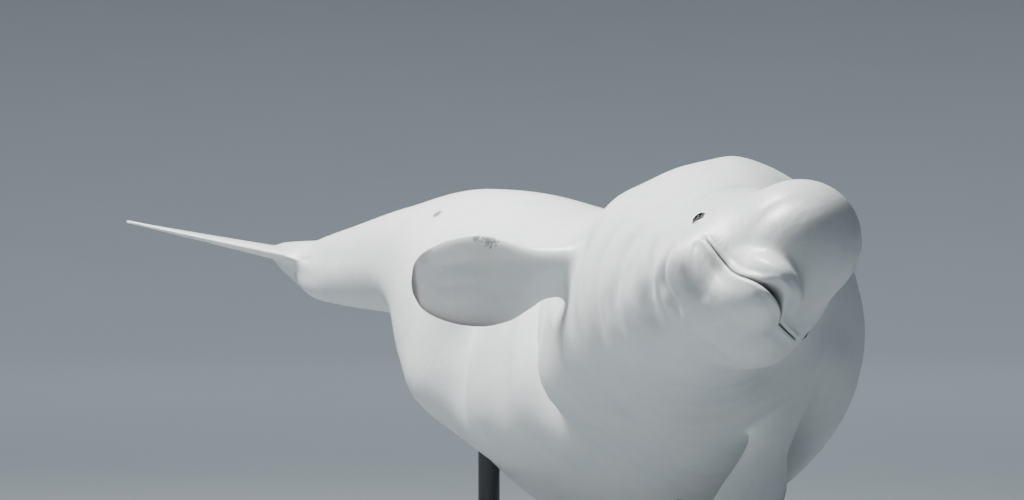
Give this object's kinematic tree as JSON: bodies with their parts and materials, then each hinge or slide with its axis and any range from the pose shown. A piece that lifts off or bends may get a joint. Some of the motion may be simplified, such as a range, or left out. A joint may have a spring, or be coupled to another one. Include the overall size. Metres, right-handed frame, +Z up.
{
  "type": "beluga whale model on a display stand",
  "caption": "Life-size still model of an adult beluga whale turning as it swims, with rounded forehead, flippers, flukes and rolls of fat along the belly, held by rods on a flat base.",
  "frame": {"origin": "middle of the underside of the stand's base", "axes": "+X towards the head along the stand's base, +Y to the left of that, +Z up from the floor"},
  "size_m": [3.8012, 1.314, 1.3746],
  "materials": {
    "head": "satin, smooth skin",
    "lower_jaw": "satin, smooth skin",
    "neck": "satin, smooth skin",
    "chest": "satin, smooth skin",
    "abdomen": "satin, smooth skin",
    "loin": "satin, smooth skin",
    "tail_stock": "satin, smooth skin",
    "flipper_left": "satin, smooth skin",
    "flipper_right": "satin, smooth skin",
    "fluke_left": "satin, smooth skin",
    "fluke_right": "satin, smooth skin",
    "eye_left": "wet gloss",
    "eye_right": "wet gloss",
    "stand_base": "satin paint",
    "stand_rod_front": "satin paint",
    "stand_rod_rear": "satin paint"
  },
  "bodies": {
    "root": {"head": "head", "lower_jaw": "lower_jaw", "neck": "neck", "chest": "chest", "abdomen": "abdomen", "loin": "loin", "tail_stock": "tail_stock", "flipper_left": "flipper_left", "flipper_right": "flipper_right", "fluke_left": "fluke_left", "fluke_right": "fluke_right", "eye_left": "eye_left", "eye_right": "eye_right", "stand_base": "stand_base", "stand_rod_front": "stand_rod_front", "stand_rod_rear": "stand_rod_rear"}
  },
  "joints": []
}
